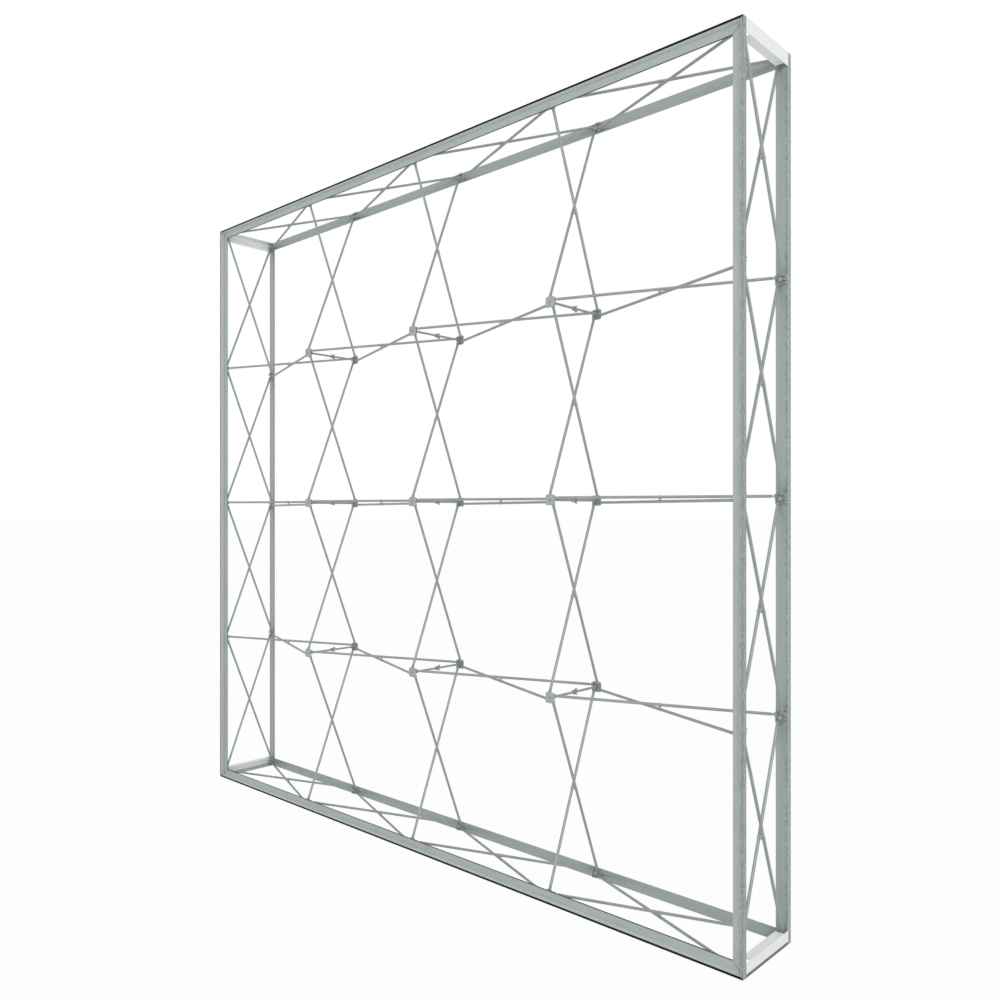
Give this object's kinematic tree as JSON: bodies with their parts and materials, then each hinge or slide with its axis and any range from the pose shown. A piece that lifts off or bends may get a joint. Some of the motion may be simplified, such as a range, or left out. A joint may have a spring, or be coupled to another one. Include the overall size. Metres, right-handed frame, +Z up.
{
  "type": "display wall frame",
  "caption": "Free-standing pop-up lattice frame for a backlit fabric display wall, with scissor struts, moulded hubs, lock arms and grooved perimeter rails.",
  "frame": {"origin": "on the floor, at the centre of the footprint", "axes": "+Z up, +X to the right as seen from the front, the front face looks along -Y"},
  "size_m": [2.985, 0.35, 2.985],
  "materials": {
    "rail_aluminium": "satin anodised",
    "strut_aluminium": "satin drawn tube",
    "hub_plastic": "fine moulded grey",
    "lock_plastic": "fine moulded grey",
    "zinc_steel": "zinc plated",
    "washer_nylon": "natural nylon",
    "bar_white": "white powder coat",
    "foot_grey": "matt dark grey"
  },
  "bodies": {
    "lattice": {"front_hubs_row_1": "hub_plastic", "rear_hubs_row_1": "hub_plastic", "front_hubs_row_2": "hub_plastic", "rear_hubs_row_2": "hub_plastic", "front_hubs_row_3": "hub_plastic", "rear_hubs_row_3": "hub_plastic", "front_hubs_row_4": "hub_plastic", "rear_hubs_row_4": "hub_plastic", "front_hubs_row_5": "hub_plastic", "rear_hubs_row_5": "hub_plastic", "cross_struts_row_1": "strut_aluminium", "cross_struts_row_2": "strut_aluminium", "cross_struts_row_3": "strut_aluminium", "cross_struts_row_4": "strut_aluminium", "cross_struts_row_5": "strut_aluminium", "upright_struts_column_1": "strut_aluminium", "upright_struts_column_2": "strut_aluminium", "upright_struts_column_3": "strut_aluminium", "upright_struts_column_4": "strut_aluminium", "upright_struts_column_5": "strut_aluminium", "depth_bar_bottom_left": "bar_white", "depth_bar_top_left": "bar_white", "depth_bar_bottom_right": "bar_white", "depth_bar_top_right": "bar_white", "foot_strips": "foot_grey", "front_strut_tips": "hub_plastic", "front_hub_pins": "zinc_steel", "rear_strut_tips": "hub_plastic", "rear_hub_pins": "zinc_steel", "scissor_rivets": "zinc_steel", "scissor_washers": "washer_nylon", "lock_posts": "lock_plastic", "lock_pins": "zinc_steel"},
    "front_top": {"front_top_rail": "rail_aluminium", "front_top_rail_pegs": "zinc_steel"},
    "front_bottom": {"front_bottom_rail": "rail_aluminium", "front_bottom_rail_pegs": "zinc_steel"},
    "front_left": {"front_left_rail": "rail_aluminium", "front_left_rail_pegs": "zinc_steel"},
    "front_right": {"front_right_rail": "rail_aluminium", "front_right_rail_pegs": "zinc_steel"},
    "rear_top": {"rear_top_rail": "rail_aluminium", "rear_top_rail_pegs": "zinc_steel"},
    "rear_bottom": {"rear_bottom_rail": "rail_aluminium", "rear_bottom_rail_pegs": "zinc_steel"},
    "rear_left": {"rear_left_rail": "rail_aluminium", "rear_left_rail_pegs": "zinc_steel"},
    "rear_right": {"rear_right_rail": "rail_aluminium", "rear_right_rail_pegs": "zinc_steel"},
    "lock_row_2_column_2": {"lock_arm_row_2_column_2": "lock_plastic"},
    "lock_row_2_column_3": {"lock_arm_row_2_column_3": "lock_plastic"},
    "lock_row_2_column_4": {"lock_arm_row_2_column_4": "lock_plastic"},
    "lock_row_3_column_2": {"lock_arm_row_3_column_2": "lock_plastic"},
    "lock_row_3_column_3": {"lock_arm_row_3_column_3": "lock_plastic"},
    "lock_row_3_column_4": {"lock_arm_row_3_column_4": "lock_plastic"},
    "lock_row_4_column_2": {"lock_arm_row_4_column_2": "lock_plastic"},
    "lock_row_4_column_3": {"lock_arm_row_4_column_3": "lock_plastic"},
    "lock_row_4_column_4": {"lock_arm_row_4_column_4": "lock_plastic"}
  },
  "joints": [
    {"name": "front_top_pull_off", "type": "slide", "parent": "lattice", "child": "front_top", "axis": [0, -1, 0], "range_m": [0, 0.15]},
    {"name": "front_bottom_pull_off", "type": "slide", "parent": "lattice", "child": "front_bottom", "axis": [0, -1, 0], "range_m": [0, 0.15]},
    {"name": "front_left_pull_off", "type": "slide", "parent": "lattice", "child": "front_left", "axis": [0, -1, 0], "range_m": [0, 0.15]},
    {"name": "front_right_pull_off", "type": "slide", "parent": "lattice", "child": "front_right", "axis": [0, -1, 0], "range_m": [0, 0.15]},
    {"name": "rear_top_pull_off", "type": "slide", "parent": "lattice", "child": "rear_top", "axis": [0, 1, 0], "range_m": [0, 0.15]},
    {"name": "rear_bottom_pull_off", "type": "slide", "parent": "lattice", "child": "rear_bottom", "axis": [0, 1, 0], "range_m": [0, 0.15]},
    {"name": "rear_left_pull_off", "type": "slide", "parent": "lattice", "child": "rear_left", "axis": [0, 1, 0], "range_m": [0, 0.15]},
    {"name": "rear_right_pull_off", "type": "slide", "parent": "lattice", "child": "rear_right", "axis": [0, 1, 0], "range_m": [0, 0.15]},
    {"name": "lock_row_2_column_2_swing", "type": "hinge", "parent": "lattice", "child": "lock_row_2_column_2", "pos_m": [-0.735, -0.129, 0.7575], "axis": [0, 0, -1], "range_deg": [0, 60]},
    {"name": "lock_row_2_column_3_swing", "type": "hinge", "parent": "lattice", "child": "lock_row_2_column_3", "pos_m": [0, -0.129, 0.7575], "axis": [0, 0, -1], "range_deg": [0, 60]},
    {"name": "lock_row_2_column_4_swing", "type": "hinge", "parent": "lattice", "child": "lock_row_2_column_4", "pos_m": [0.735, -0.129, 0.7575], "axis": [0, 0, -1], "range_deg": [0, 60]},
    {"name": "lock_row_3_column_2_swing", "type": "hinge", "parent": "lattice", "child": "lock_row_3_column_2", "pos_m": [-0.735, -0.129, 1.4925], "axis": [0, 0, -1], "range_deg": [0, 60]},
    {"name": "lock_row_3_column_3_swing", "type": "hinge", "parent": "lattice", "child": "lock_row_3_column_3", "pos_m": [0, -0.129, 1.4925], "axis": [0, 0, -1], "range_deg": [0, 60]},
    {"name": "lock_row_3_column_4_swing", "type": "hinge", "parent": "lattice", "child": "lock_row_3_column_4", "pos_m": [0.735, -0.129, 1.4925], "axis": [0, 0, -1], "range_deg": [0, 60]},
    {"name": "lock_row_4_column_2_swing", "type": "hinge", "parent": "lattice", "child": "lock_row_4_column_2", "pos_m": [-0.735, -0.129, 2.2275], "axis": [0, 0, -1], "range_deg": [0, 60]},
    {"name": "lock_row_4_column_3_swing", "type": "hinge", "parent": "lattice", "child": "lock_row_4_column_3", "pos_m": [0, -0.129, 2.2275], "axis": [0, 0, -1], "range_deg": [0, 60]},
    {"name": "lock_row_4_column_4_swing", "type": "hinge", "parent": "lattice", "child": "lock_row_4_column_4", "pos_m": [0.735, -0.129, 2.2275], "axis": [0, 0, -1], "range_deg": [0, 60]}
  ]
}
